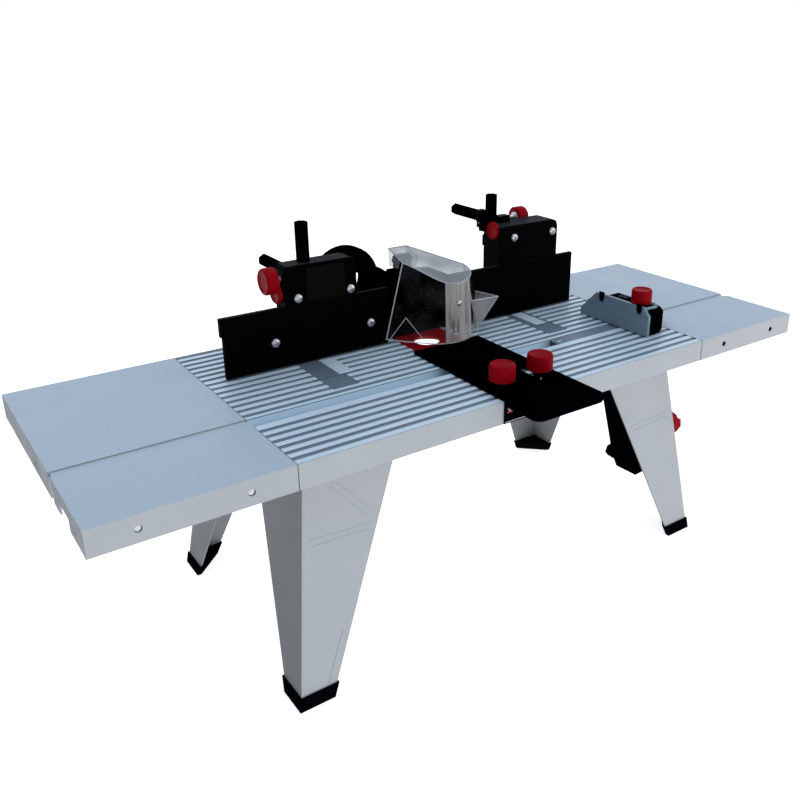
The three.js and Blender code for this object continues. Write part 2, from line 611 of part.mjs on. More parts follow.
function mitreHead() {
  const { pivotX, headR, faceX, wallTop } = MITRE;
  const left = faceX + 4.3;
  const arc = (r) => {
    const outline = [];
    for (let i = 0; i <= 16; i++) {
      const angle = -Math.PI / 2 + (i * Math.PI) / 16;
      outline.push([pivotX - 4 + r * Math.cos(angle), SLOT_Y + r * Math.sin(angle)]);
    }
    outline.push([left, SLOT_Y + r], [left, SLOT_Y - r]);
    return outline;
  };
  let head = prism('z', arc(headR), GAP, 8);
  head = head.add(prism('z', arc(headR), 8, 20).subtract(prism('z', arc(headR - 7), 7, 21)));
  const back = [[SLOT_Y - headR, GAP], [SLOT_Y + headR, GAP], [SLOT_Y + headR, 10]];
  back.push([-23, wallTop], [SLOT_Y - headR, wallTop]);
  head = head.add(prism('x', back, left, left + 7));
  head = head.add(box(left, left + 11, SLOT_Y - headR, -64, GAP, wallTop));
  head = head.add(rod('z', pivotX, SLOT_Y, 9, GAP, 20, 20));
  head = head.subtract(rod('z', pivotX, SLOT_Y, 4.3, -1, 30, 16));
  head = head.subtract(rod('z', MITRE_KNOB.x, MITRE_KNOB.y, STUD_R + 0.3, 10, 40, 12));
  return head;
}

function mitreFace() {
  const { faceX } = MITRE;
  const outline = [[-102, 1], [5.2, 1], [5.2, 9], [-19.5, 34], [-95, 34], [-104, 25], [-104, 1]];
  let face = prism('x', outline, faceX, faceX + 4);
  face = face.add(box(faceX, faceX + 22, -97, -36, 30.5, 34));
  for (const [y0, y1] of [[-93.5, -65.5], [-58, -46]]) {
    face = face.subtract(box(faceX + 9, faceX + 19, y0, y1, 29, 36));
  }
  for (const clipY of MITRE_CLIPS) {
    face = face.subtract(box(faceX - 1, faceX + 1.6, clipY - 4.6, clipY + 4.6, 24.5, 36));
  }
  return face;
}

const MITRE_CLIPS = [-28.5, -89];

function mitreClip(y) {
  const { faceX } = MITRE;
  const outline = [[y - 3, 28], [y, 24.8], [y + 2, 26], [y + 4.2, 36.5], [y - 4.2, 37]];
  return prism('x', outline, faceX - 0.4, faceX + 1.2);
}

function mitreKnob() {
  const { x, y, seat, height, r } = MITRE_KNOB;
  return knob('z', x, y, seat, 1, height, 20, r);
}

// ---- switch -------------------------------------------------------------------------------------
// Built on the front-right leg's side flange: local x is out of the flange, z = 0 at the top plane.
const FLANGE_TILT = Math.atan((LEG_CORNER_BOTTOM.x - LEG_CORNER_TOP.x) / TABLE_HEIGHT);

const HOUSING = { inner: -LEG_SHEET - GAP - 0.4, depth: 22, wall: 3, glandY: -38, glandZ: -186 };
const HOUSING_OUTLINE = [[-100, -60], [-24, -60], [-44, -182], [-51, -197], [-84, -196], [-97, -184]];
const HOUSING_HOLLOW = [[-97, -63], [-28, -63], [-47, -181], [-56, -193.5], [-83, -193], [-94, -182]];

function switchHousing() {
  const { inner, depth, wall, glandY, glandZ } = HOUSING;
  const middle = inner - depth / 2;
  const boss = rod('y', middle, glandZ, 9, glandY - 15, glandY, 20);
  let housing = prism('x', HOUSING_OUTLINE, inner - depth, inner).add(boss);
  housing = housing.subtract(prism('x', HOUSING_HOLLOW, inner - depth + wall, inner + 1));
  return housing.subtract(rod('y', middle, glandZ, 6.2, glandY - 30, glandY + 1, 16));
}

function cableGland() {
  const { inner, depth, glandY, glandZ } = HOUSING;
  const middle = inner - depth / 2;
  const ring = rod('y', middle, glandZ, 9, glandY + GAP, glandY + 9, 6);
  const neck = rod('y', middle, glandZ, 5.9, glandY - 12, glandY + 1, 16);
  return ring.add(neck).subtract(rod('y', middle, glandZ, 3.6, glandY - 13, glandY + 10, 12));
}

function switchPlate() {
  const plate = box(GAP, 8, -118, -62, -169, -104);
  const recess = box(4, 9, -113.5, -66.5, -159, -113);
  return plate.subtract(recess).subtract(rod('x', -90, -127, 7.4, -1, 9, 20));
}

function stopPaddle() {
  const outline = [[9.5, -105], [12, -105], [26, -119], [29, -127]];
  outline.push([34, -129], [34, -139], [27, -143], [10, -146]);
  const inside = [[8, -109], [11, -109], [23, -121], [25, -140], [22, -147], [8, -148]];
  const wedge = prism('y', outline, -108, -72).subtract(prism('y', inside, -105.5, -74.5));
  return wedge.add(rod('y', 11.5, -106, 2, -108, -72, 12));
}

function startButton() {
  return rod('x', -90, -127, 7, 3.2, 9, 20);
}

// ---- assembly -----------------------------------------------------------------------------------
piece('table_top', tableTop(), ALUMINIUM());
piece('front_apron', apron(-1), PAINT());
piece('rear_apron', apron(1), PAINT());
piece('left_rail', rail(-1), PAINT());
piece('right_rail', rail(1), PAINT());
piece('left_wing', wing(-1), PAINT());
piece('right_wing', wing(1), PAINT());
for (const [depth, rear] of [['front', false], ['rear', true]]) {
  for (const [hand, right] of [['left', false], ['right', true]]) {
    piece(`${depth}_${hand}_leg`, leg(right, rear), PAINT());
    piece(`${depth}_${hand}_foot`, footCap(right, rear), RUBBER());
  }
}
piece('insert_plate', insertPlate(), RED());
piece('router_mounting_plate', mountingPlate(), BLACK());
piece('name_plate', labelPlate(), BLACK());

piece('work_support', workSupport(), BLACK());
for (const [hand, side] of [['left', -1], ['right', 1]]) {
  const { spread, y, bottom, height, r } = PLATE_KNOB;
  const grip = knob('z', PLATE_KNOB.x + side * spread, y, bottom, 1, height, bottom + 12, r);
  piece(`support_knob_${hand}`, grip, RED());
}

piece('fence_base', fenceBase(), BLACK());
piece('left_fence_board', fenceBoard(-1), BLACK());
piece('right_fence_board', fenceBoard(1), BLACK());
for (const [hand, side] of [['left', -1], ['right', 1]]) {
  piece(`fence_knob_${hand}`, knob('z', side * 175, 110, 6, 1, 15, 5.6), RED());
}
piece('left_guide_block', leftTower(), BLACK());
for (const [name, spec, outward] of [
  ['left_post_knob', LEFT_POST_KNOB, -1],
  ['left_arm_knob', LEFT_ARM_KNOB, -1],
  ['right_post_knob', RIGHT_POST_KNOB, -1],
  ['right_arm_knob', RIGHT_ARM_KNOB, 1],
]) {
  piece(name, knob('x', spec.y, spec.z, spec.seat, outward, spec.height, spec.reach, spec.r), RED());
}
piece('left_post', hexBar('z', LEFT_POST.x, LEFT_POST.y, LEFT_POST.bottom, LEFT_POST.top), BLACK());
piece('left_arm', hexBar('y', LEFT_ARM.x, LEFT_ARM.z, LEFT_ARM.front, LEFT_ARM.rear), BLACK());
piece('right_guide_block', rightTower(), BLACK());
piece('right_post', hexBar('z', RIGHT_POST.x, RIGHT_POST.y, RIGHT_POST.bottom, RIGHT_POST.top), BLACK());
piece('right_arm', hexBar('y', RIGHT_ARM.x, RIGHT_ARM.z, RIGHT_ARM.front, RIGHT_ARM.rear), BLACK());

piece('dust_hood', dustHood(), BLACK());
piece('dust_port', dustPort(), BLACK());
piece('bit_guard', guard(), CLEAR());
piece('guard_bracket', guardBracket(), BLACK());
piece('guard_pin', rod('x', GUARD.pivotY, GUARD.pivotZ, 2, -21, 5, 16), STEEL());

piece('mitre_bar', mitreBar(), STEEL());
piece('mitre_head', mitreHead(), BLACK());
piece('mitre_face', mitreFace(), FACE_ALUMINIUM());
piece('mitre_clip_rear', mitreClip(MITRE_CLIPS[0]), BLACK());
piece('mitre_clip_front', mitreClip(MITRE_CLIPS[1]), BLACK());
piece('mitre_knob', mitreKnob(), RED());

const switchGroup = new THREE.Group();
switchGroup.position.set(LEG_CORNER_TOP.x, 0, 0);
switchGroup.rotation.y = -FLANGE_TILT;
root.add(switchGroup);
piece('switch_housing', switchHousing(), BLACK(), switchGroup);
piece('cable_gland', cableGland(), BLACK(), switchGroup);
piece('switch_plate', switchPlate(), BLACK(), switchGroup);
piece('stop_paddle', stopPaddle(), RED(), switchGroup);
piece('start_button', startButton(), material(0x157a35, 0.4), switchGroup);

const REST_DEPTH = (LEG_CORNER_BOTTOM.y + 1.7 + PLATE.front) / 2;
root.position.set(0, -REST_DEPTH, TABLE_HEIGHT);
export default root;
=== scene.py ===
import json
import math

import bmesh
import bpy
from mathutils import Matrix, Vector

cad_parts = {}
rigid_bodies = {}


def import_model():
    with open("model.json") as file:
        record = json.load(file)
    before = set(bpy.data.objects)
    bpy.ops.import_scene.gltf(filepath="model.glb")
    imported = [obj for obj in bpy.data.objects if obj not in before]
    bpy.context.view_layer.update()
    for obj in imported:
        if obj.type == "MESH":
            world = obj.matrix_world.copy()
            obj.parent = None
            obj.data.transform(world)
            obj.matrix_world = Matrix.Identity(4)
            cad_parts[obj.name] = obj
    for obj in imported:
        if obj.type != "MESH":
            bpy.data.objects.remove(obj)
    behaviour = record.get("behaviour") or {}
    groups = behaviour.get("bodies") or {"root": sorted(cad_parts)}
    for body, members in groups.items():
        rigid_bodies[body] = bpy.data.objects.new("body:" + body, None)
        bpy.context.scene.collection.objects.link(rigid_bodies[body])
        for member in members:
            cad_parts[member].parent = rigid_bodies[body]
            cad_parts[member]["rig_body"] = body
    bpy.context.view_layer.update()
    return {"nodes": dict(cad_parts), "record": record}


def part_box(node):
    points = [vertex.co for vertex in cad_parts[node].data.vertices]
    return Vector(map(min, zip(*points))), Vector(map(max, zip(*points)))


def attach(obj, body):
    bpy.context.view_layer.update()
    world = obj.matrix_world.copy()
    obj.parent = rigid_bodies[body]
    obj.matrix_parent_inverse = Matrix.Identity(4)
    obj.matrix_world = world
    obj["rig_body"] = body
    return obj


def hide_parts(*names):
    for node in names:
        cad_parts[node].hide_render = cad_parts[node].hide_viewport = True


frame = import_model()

# Sizes are millimetres. Places are measured from the middle of the table's top surface.
MM = 0.001
TOP_LOW, TOP_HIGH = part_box("table_top")
TOP_MIDDLE = Vector((0, (TOP_LOW.y + TOP_HIGH.y) / 2, TOP_HIGH.z))
TO_FRAME = Matrix.Translation(TOP_MIDDLE) @ Matrix.Scale(MM, 4)
SLOT_OF = {s["node"]: s["material_slot"] for s in frame["record"]["subparts"]}

# ---- camera, light and floor ------------------------------------------------------------------
CAMERA_PLACE = Vector((-519, -725.9, 337.2))
CAMERA_HEADING = 36.26
CAMERA_TILT = 21.52
CAMERA_ROLL = 0.33
LENS = 38.55
SHIFT = (-0.0703, -0.0484)


def make_camera():
    data = bpy.data.cameras.new("photo_camera")
    data.lens = LENS
    data.sensor_width = 36
    data.shift_x, data.shift_y = SHIFT
    data.clip_end = 50
    camera = bpy.data.objects.new("photo_camera", data)
    turn = Matrix.Rotation(math.radians(-CAMERA_HEADING), 4, "Z")
    tilt = Matrix.Rotation(math.radians(90 - CAMERA_TILT), 4, "X")
    roll = Matrix.Rotation(math.radians(CAMERA_ROLL), 4, "Z")
    camera.matrix_world = Matrix.Translation(TO_FRAME @ CAMERA_PLACE) @ turn @ tilt @ roll
    bpy.context.scene.collection.objects.link(camera)
    bpy.context.scene.camera = camera


def area_light(name, place, target, size, watts, color):
    data = bpy.data.lights.new(name, "AREA")
    data.shape = "RECTANGLE"
    data.size, data.size_y = size
    data.energy = watts
    data.color = color
    light = bpy.data.objects.new(name, data)
    light.location = Vector(place)
    aim = Vector(target) - Vector(place)
    light.rotation_euler = aim.to_track_quat("-Z", "Y").to_euler()
    bpy.context.scene.collection.objects.link(light)


def make_studio():
    """A white room, bluer overhead and darker to the left, with two soft lights."""
    world = bpy.data.worlds.new("studio")
    world.use_nodes = True
    nodes, links = world.node_tree.nodes, world.node_tree.links
    place = nodes.new("ShaderNodeTexCoord")
    split = nodes.new("ShaderNodeSeparateXYZ")
    sky = nodes.new("ShaderNodeValToRGB")
    sky.color_ramp.elements[0].position = 0.12
    sky.color_ramp.elements[0].color = (1.0, 1.0, 1.0, 1)
    sky.color_ramp.elements[1].position = 0.55
    sky.color_ramp.elements[1].color = (0.50, 0.57, 0.68, 1)
    links.new(place.outputs["Generated"], split.inputs["Vector"])
    links.new(split.outputs["Z"], sky.inputs["Fac"])
    shade = nodes.new("ShaderNodeValToRGB")
    shade.color_ramp.elements[0].position = 0.15
    shade.color_ramp.elements[0].color = (0.50, 0.53, 0.57, 1)
    shade.color_ramp.elements[1].position = 0.56
    shade.color_ramp.elements[1].color = (1.0, 1.0, 1.0, 1)
    across = nodes.new("ShaderNodeMapRange")
    across.inputs["From Min"].default_value = -1.0
    across.inputs["From Max"].default_value = 1.0
    links.new(split.outputs["X"], across.inputs["Value"])
    links.new(across.outputs["Result"], shade.inputs["Fac"])
    both = nodes.new("ShaderNodeMix")
    both.data_type = "RGBA"
    both.blend_type = "MULTIPLY"
    both.inputs["Factor"].default_value = 1.0
    links.new(sky.outputs["Color"], both.inputs["A"])
    links.new(shade.outputs["Color"], both.inputs["B"])
    background = nodes["Background"]
    links.new(both.outputs["Result"], background.inputs["Color"])
    background.inputs["Strength"].default_value = 1.0
    bpy.context.scene.world = world
    bpy.context.scene.view_settings.view_transform = "Standard"
    middle = (0, 0, 0.25)
    area_light("overhead", (0.0, 0.3, 2.1), middle, (2.2, 1.6), 14, (0.85, 0.93, 1.0))
    area_light("fill_right", (1.7, -1.9, 0.8), middle, (1.2, 1.2), 8, (1.0, 0.98, 0.95))


# ---- material nodes -----------------------------------------------------------------------------
def start_material(name, roughness, metallic=0.0):
    material = bpy.data.materials.new(name)
    material.use_nodes = True
    shader = material.node_tree.nodes["Principled BSDF"]
    shader.inputs["Roughness"].default_value = roughness
    shader.inputs["Metallic"].default_value = metallic
    return material, shader


def noise(material, scale, detail=2.0, stretch=(1, 1, 1), rough=0.5):
    """A noise in object space: scale is features per metre, stretched along each axis."""
    nodes, links = material.node_tree.nodes, material.node_tree.links
    place = nodes.new("ShaderNodeTexCoord")
    mapping = nodes.new("ShaderNodeMapping")
    mapping.inputs["Scale"].default_value = stretch
    texture = nodes.new("ShaderNodeTexNoise")
    texture.inputs["Scale"].default_value = scale
    texture.inputs["Detail"].default_value = detail
    texture.inputs["Roughness"].default_value = rough
    links.new(place.outputs["Object"], mapping.inputs["Vector"])
    links.new(mapping.outputs["Vector"], texture.inputs["Vector"])
    return texture.outputs["Fac"]


def ramp(material, value, stops):
    nodes, links = material.node_tree.nodes, material.node_tree.links
    node = nodes.new("ShaderNodeValToRGB")
    elements = node.color_ramp.elements
    while len(elements) < len(stops):
        elements.new(0.5)
    for element, (position, color) in zip(elements, stops):
        element.position = position
        element.color = (*color, 1) if len(color) == 3 else color
    links.new(value, node.inputs["Fac"])
    return node.outputs["Color"]


def grey(level):
    return (level, level, level)


def mix_color(material, factor, first, second):
    nodes, links = material.node_tree.nodes, material.node_tree.links
    node = nodes.new("ShaderNodeMix")
    node.data_type = "RGBA"
    links.new(factor, node.inputs["Factor"])
    for socket, value in ((node.inputs["A"], first), (node.inputs["B"], second)):
        if isinstance(value, tuple):
            socket.default_value = (*value, 1)
        else:
            links.new(value, socket)
    return node.outputs["Result"]


def bump(material, shader, heights):
    """Chains bumps: each is (height socket, strength, distance in millimetres)."""
    nodes, links = material.node_tree.nodes, material.node_tree.links
    last = None
    for height, strength, distance in heights:
        node = nodes.new("ShaderNodeBump")
        node.inputs["Strength"].default_value = strength
        node.inputs["Distance"].default_value = distance * MM
        links.new(height, node.inputs["Height"])
        if last is not None:
            links.new(last, node.inputs["Normal"])
        last = node.outputs["Normal"]
    links.new(last, shader.inputs["Normal"])


def shifted(material, value):
    """Maps a direction's -1..1 onto 0..1."""
    node = material.node_tree.nodes.new("ShaderNodeMapRange")
    node.inputs["From Min"].default_value = -1.0
    node.inputs["From Max"].default_value = 1.0
    material.node_tree.links.new(value, node.inputs["Value"])
    return node.outputs["Result"]


def feed(material, value, socket):
    material.node_tree.links.new(value, socket)


# ---- materials ----------------------------------------------------------------------------------
def painted_steel(name, side_color, lit_top_color):
    """Powder coat: orange peel, faint cloudiness, dust specks, and a lighter, cooler colour on level faces
    that is a painted reflection of the light from overhead.

    Faces turned to the left, and the low parts of the rear legs, are painted darker as painted shade; faces
    turned to the left also get less specular.
    """
    material, shader = start_material(name, 0.4)
    nodes, links = material.node_tree.nodes, material.node_tree.links
    place = nodes.new("ShaderNodeTexCoord")
    split = nodes.new("ShaderNodeSeparateXYZ")
    spot = nodes.new("ShaderNodeSeparateXYZ")
    links.new(place.outputs["Normal"], split.inputs["Vector"])
    # Level faces take the lighter, cooler top colour: painted reflection of the light from overhead.
    level = ramp(material, split.outputs["Z"], [(0.6, grey(0)), (0.97, grey(1))])
    clouds = noise(material, 9, 3)
    side = ramp(material, clouds, [(0.3, tuple(0.93 * c for c in side_color)), (0.7, side_color)])
    top = ramp(material, clouds, [(0.3, tuple(0.95 * c for c in lit_top_color)), (0.7, lit_top_color)])
    tone = mix_color(material, level, side, top)
    # Faces turned to the left are darkened, and their specular lowered: painted shade.
    leftward = ramp(material, shifted(material, split.outputs["X"]), [(0.08, grey(1)), (0.30, grey(0))])
    tone = mix_color(material, leftward, tone, tuple(0.42 * c for c in side_color))
    # The low parts of the rear legs, under the table, are darkened too: painted shade.
    links.new(place.outputs["Object"], spot.inputs["Vector"])
    rearward = ramp(material, spot.outputs["Y"], [(0.05, grey(0)), (0.08, grey(1))])
    low = ramp(material, spot.outputs["Z"], [(0.215, grey(1)), (0.225, grey(0))])
    shaded = mix_color(material, low, (0.0, 0.0, 0.0), rearward)
    tone = mix_color(material, shaded, tone, tuple(0.45 * c for c in side_color))
    specks = ramp(material, noise(material, 420, 1), [(0.73, grey(0)), (0.78, grey(1))])
    dusty = mix_color(material, specks, tone, tuple(0.72 * c for c in lit_top_color))
    feed(material, dusty, shader.inputs["Base Color"])
    rough = ramp(material, noise(material, 30, 4), [(0.3, grey(0.33)), (0.7, grey(0.46))])
    feed(material, rough, shader.inputs["Roughness"])
    bump(material, shader, [(noise(material, 900, 2), 0.12, 0.06), (noise(material, 6, 2), 0.2, 0.3)])
    gloss = mix_color(material, leftward, grey(0.35), grey(0.04))
    feed(material, gloss, shader.inputs["Specular IOR Level"])
    return material


def extruded_aluminium():
    """Die lines run along the table, with duller and brighter bands between them."""
    material, shader = start_material("ribbed_aluminium", 0.35, 0.15)
    lines = noise(material, 6, 5, (1, 160, 160), 0.65)
    clouds = noise(material, 14, 3)
    bright = ramp(material, lines, [(0.3, (0.58, 0.70, 0.79)), (0.7, (0.71, 0.83, 0.91))])
    tone = mix_color(material, clouds, bright, (0.65, 0.77, 0.86))
    nodes, links = material.node_tree.nodes, material.node_tree.links
    place = nodes.new("ShaderNodeTexCoord")
    split = nodes.new("ShaderNodeSeparateXYZ")
    depth = nodes.new("ShaderNodeMapRange")
    depth.inputs["From Min"].default_value = TOP_HIGH.z - 12 * MM
    depth.inputs["From Max"].default_value = TOP_HIGH.z
    links.new(place.outputs["Object"], split.inputs["Vector"])
    links.new(split.outputs["Z"], depth.inputs["Value"])
    # The floors of the grooves between the ribs, just below the rib tops, are darkened: painted shade in the
    # grooves.
    outside_grooves = ramp(material, depth.outputs["Result"],
                 [(0.86, grey(1)), (0.90, grey(0)), (0.945, grey(0)), (0.99, grey(1))])
    groove_shaded = mix_color(material, outside_grooves, (0.145, 0.20, 0.25), tone)
    feed(material, groove_shaded, shader.inputs["Base Color"])
    rough = ramp(material, noise(material, 9, 4, (1, 60, 60)), [(0.25, grey(0.27)), (0.75, grey(0.45))])
    feed(material, rough, shader.inputs["Roughness"])
    bump(material, shader, [(lines, 0.2, 0.05), (noise(material, 500, 3), 0.35, 0.08)])
    return material


def cast_aluminium():
    material, shader = start_material("mitre_aluminium", 0.4, 0.2)
    lines = noise(material, 8, 4, (160, 1, 160), 0.6)
    tone = ramp(material, lines, [(0.25, (0.14, 0.20, 0.235)), (0.75, (0.205, 0.28, 0.33))])
    feed(material, tone, shader.inputs["Base Color"])
    rough = ramp(material, noise(material, 60, 4), [(0.3, grey(0.32)), (0.7, grey(0.48))])
    feed(material, rough, shader.inputs["Roughness"])
    bump(material, shader, [(lines, 0.2, 0.05), (noise(material, 500, 2), 0.12, 0.05)])
    return material


def brushed_steel():
    material, shader = start_material("brushed_steel", 0.3, 1.0)
    lines = noise(material, 20, 4, (1, 60, 60), 0.6)
    feed(material, ramp(material, lines, [(0.2, grey(0.42)), (0.8, grey(0.62))]), shader.inputs["Base Color"])
    rough = ramp(material, noise(material, 90, 3), [(0.3, grey(0.22)), (0.7, grey(0.38))])
    feed(material, rough, shader.inputs["Roughness"])
    bump(material, shader, [(lines, 0.15, 0.03)])
    return material


def moulded_plastic(name, color, worn, roughness, grain=1800, depth=0.04, shine=0.05, level=None):
    """Moulded plastic: a fine spark-eroded grain, flow marks and light scuffs."""
    material, shader = start_material(name, roughness)
    shader.inputs["Specular IOR Level"].default_value = shine
    flow = noise(material, 18, 3)
    scuffs = ramp(material, noise(material, 60, 6, (1, 1, 0.3), 0.7), [(0.62, grey(0)), (0.78, grey(0.55))])
    tone = ramp(material, flow, [(0.3, tuple(0.82 * c for c in color)), (0.7, color)])
    # Upward faces can take the lighter level colour: painted highlight on top faces and edges.
    if level:
        nodes, links = material.node_tree.nodes, material.node_tree.links
        place, split = nodes.new("ShaderNodeTexCoord"), nodes.new("ShaderNodeSeparateXYZ")
        links.new(place.outputs["Normal"], split.inputs["Vector"])
        upward = ramp(material, split.outputs["Z"], [(0.7, grey(0)), (0.97, grey(1))])
        tone = mix_color(material, upward, tone, level)
    feed(material, mix_color(material, scuffs, tone, worn), shader.inputs["Base Color"])
    smooth, dull = grey(roughness - 0.08), grey(roughness + 0.08)
    rough = ramp(material, noise(material, 45, 4), [(0.3, smooth), (0.7, dull)])
    feed(material, rough, shader.inputs["Roughness"])
    bump(material, shader, [(noise(material, grain, 2), 0.25, depth), (noise(material, 12, 2), 0.1, 0.3)])
    return material


def clear_plastic(name, base_opacity, tint, glance=0.35, shine=0.5, streak_opacity=0.06, streak=(1, 1, 1)):
    """Clear polycarbonate: nearly invisible face on, with a base opacity, streaks of opacity and a brighter
    glance.
    """
    material, shader = start_material(name, 0.06)
    nodes, links = material.node_tree.nodes, material.node_tree.links
    facing = nodes.new("ShaderNodeLayerWeight")
    facing.inputs["Blend"].default_value = 0.3
    streak_alpha = ramp(material, noise(material, 25, 4, streak), [(0.4, grey(0.0)), (0.7, grey(streak_opacity))])
    rim = grey(min(1.0, base_opacity + 0.5))
    edge = ramp(material, facing.outputs["Facing"], [(glance, grey(base_opacity)), (0.98, rim)])
    total = nodes.new("ShaderNodeMath")
    total.operation = "ADD"
    links.new(edge, total.inputs[0])
    links.new(streak_alpha, total.inputs[1])
    links.new(total.outputs[0], shader.inputs["Alpha"])
    feed(material, ramp(material, noise(material, 8, 2), [(0.3, tuple(0.85 * c for c in tint)), (0.7, tint)]),
         shader.inputs["Base Color"])
    rough = ramp(material, noise(material, 30, 3), [(0.3, grey(0.05)), (0.7, grey(0.14))])
    feed(material, rough, shader.inputs["Roughness"])
    bump(material, shader, [(noise(material, 30, 2), 0.1, 0.1)])
    shader.inputs["IOR"].default_value = 1.5
    shader.inputs["Specular IOR Level"].default_value = shine
    return material


def printed_ink(name, color):
    material, shader = start_material(name, 0.5)
    tone = ramp(material, noise(material, 200, 3), [(0.3, tuple(0.8 * c for c in color)), (0.7, color)])
    feed(material, tone, shader.inputs["Base Color"])
    bump(material, shader, [(noise(material, 900, 2), 0.2, 0.03)])
    return material


def studio_floor():
    """A pale sweep that glows a little, so it stays as white as the wall behind it."""
    material, shader = start_material("studio_floor", 0.8)
    tone = ramp(material, noise(material, 3, 3), [(0.3, grey(0.80)), (0.7, grey(0.84))])
    feed(material, tone, shader.inputs["Base Color"])
    shader.inputs["Specular IOR Level"].default_value = 0.1
    shader.inputs["Emission Color"].default_value = (1.0, 0.99, 0.98, 1)
    shader.inputs["Emission Strength"].default_value = 0.76
    return material


MATERIALS = {
    "ribbed_aluminium": extruded_aluminium(),
    "painted_steel": painted_steel("painted_steel", (0.43, 0.445, 0.455), (0.455, 0.535, 0.605)),
    "foot_rubber": moulded_plastic("foot_rubber", (0.002, 0.002, 0.003), (0.008, 0.008, 0.008), 0.7,
                                   900, 0.1, 0.0),
    "red_insert": moulded_plastic("red_insert", (0.30, 0.003, 0.008), (0.36, 0.01, 0.02), 0.4, shine=0.1),
    "red_knob": moulded_plastic("red_knob", (0.29, 0.001, 0.006), (0.32, 0.004, 0.009), 0.4, shine=0.03),
    "clear_guard": clear_plastic("clear_guard", 0.0, (0.30, 0.30, 0.28), 0.9, 0.06, 0.05),
    "steel": brushed_steel(),
    "mitre_aluminium": cast_aluminium(),
    "green_button": moulded_plastic("green_button", (0.02, 0.22, 0.07), (0.08, 0.34, 0.16), 0.35, shine=0.2),
    # Its upward faces are lighter: painted highlight along the fence's top edges.
    "fence_black": moulded_plastic("fence_black", (0.0008, 0.0008, 0.0010), (0.003, 0.003, 0.004), 0.5,
                                   1400, 0.06, 0.01, (0.020, 0.022, 0.025)),
    "black_plastic": moulded_plastic("black_plastic", (0.0006, 0.0008, 0.0014), (0.0015, 0.002, 0.003), 0.46,
                                     shine=0.0),
}
EXTRAS = {
    # A paler, streaky, more opaque copy for the middle of the guard's front: painted reflection of the light
    # on the curved face.
    "clear_glare": clear_plastic("clear_glare", 0.3, (0.62, 0.575, 0.55), 0.5, 0.2, 0.5, (7, 7, 0.6)),
    "clear_roof": clear_plastic("clear_roof", 0.5, (0.36, 0.37, 0.37), 0.5, 0.1, 0.3),
    "clear_ear": clear_plastic("clear_ear", 0.2, (0.45, 0.45, 0.44), 0.6, 0.1, 0.25),
    # A pale, nearly opaque copy for the guard's edge beads: painted highlight where the edges catch the
    # light.
    "clear_edge": clear_plastic("clear_edge", 0.62, (0.70, 0.71, 0.75)),
    "scale_well": painted_steel("scale_well", (0.10, 0.13, 0.16), (0.13, 0.17, 0.21)),
    "scale_print": printed_ink("scale_print", (0.12, 0.16, 0.22)),
    "light_print": printed_ink("light_print", (0.75, 0.72, 0.72)),
    "red_print": printed_ink("red_print", (0.45, 0.03, 0.07)),
    "window_panel": moulded_plastic("window_panel", (0.004, 0.0036, 0.002), (0.006, 0.0055, 0.004), 0.5,
                                    shine=0.02),
    "dull_steel": painted_steel("dull_steel", (0.13, 0.16, 0.20), (0.16, 0.20, 0.26)),
}


# ---- mesh code ----------------------------------------------------------------------------------
def to_object(bm, name, in_metres=False):
    if not in_metres:
        bm.transform(TO_FRAME)
    bmesh.ops.recalc_face_normals(bm, faces=bm.faces)
    mesh = bpy.data.meshes.new(name)
    bm.to_mesh(mesh)
    bm.free()
    obj = bpy.data.objects.new(name, mesh)
    bpy.context.scene.collection.objects.link(obj)
    return obj


def apply_modifiers(obj):
    bpy.context.view_layer.update()
    evaluated = obj.evaluated_get(bpy.context.evaluated_depsgraph_get())
    mesh = bpy.data.meshes.new_from_object(evaluated)
    old = obj.data
    obj.modifiers.clear()
    obj.data = mesh
    mesh.name = obj.name
    bpy.data.meshes.remove(old)


def weld(mesh):
    """Closes the slivers that a bevel leaves where its rounds meet."""
    bm = bmesh.new()
    bm.from_mesh(mesh)
    bmesh.ops.remove_doubles(bm, verts=bm.verts, dist=2e-5)
    bmesh.ops.dissolve_degenerate(bm, edges=bm.edges, dist=2e-5)
    bm.to_mesh(mesh)
    bm.free()


def level_normals(mesh, near=60, crease=50):
    """Shades each vertex like the largest face round it, and keeps edges sharper than crease hard."""
    mesh.set_sharp_from_angle(angle=math.radians(crease))
    limit = math.cos(math.radians(near))
    facing = [face.normal.copy() for face in mesh.polygons]
    area = [face.area for face in mesh.polygons]
    around = [[] for _ in mesh.vertices]
    for i, face in enumerate(mesh.polygons):
        for corner in face.vertices:
            around[corner].append(i)
    normals = []
    for i, face in enumerate(mesh.polygons):
        for corner in face.vertices:
            close = [k for k in around[corner] if facing[k].dot(facing[i]) > limit]
            largest = max(close, key=lambda k: area[k])
            total = Vector()
            for k in close:
                if facing[k].dot(facing[largest]) > limit:
                    total += area[k] * facing[k]
            normals.append(total.normalized() if total.length > 0 else facing[i])
    mesh.normals_split_custom_set(normals)


def soften(obj, width, segments=2, angle=32):
    """Rounds the edges sharper than angle and leaves the flat faces flat."""
    obj.data.shade_smooth()
    if width <= 0:
        obj.data.set_sharp_from_angle(angle=math.radians(angle))
        return
    bevel = obj.modifiers.new("soft_edges", "BEVEL")
    bevel.width = width * MM
    bevel.segments = segments
    bevel.limit_method = "ANGLE"
    bevel.angle_limit = math.radians(angle)
    bevel.miter_outer = "MITER_ARC"
    apply_modifiers(obj)
    weld(obj.data)
    level_normals(obj.data)


def dress(obj, body, slot, replaced=(), look=None):
    obj.data.materials.clear()
    obj.data.materials.append(EXTRAS[look] if look else MATERIALS[slot])
    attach(obj, body)
    if replaced:
        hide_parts(*replaced)
    return obj


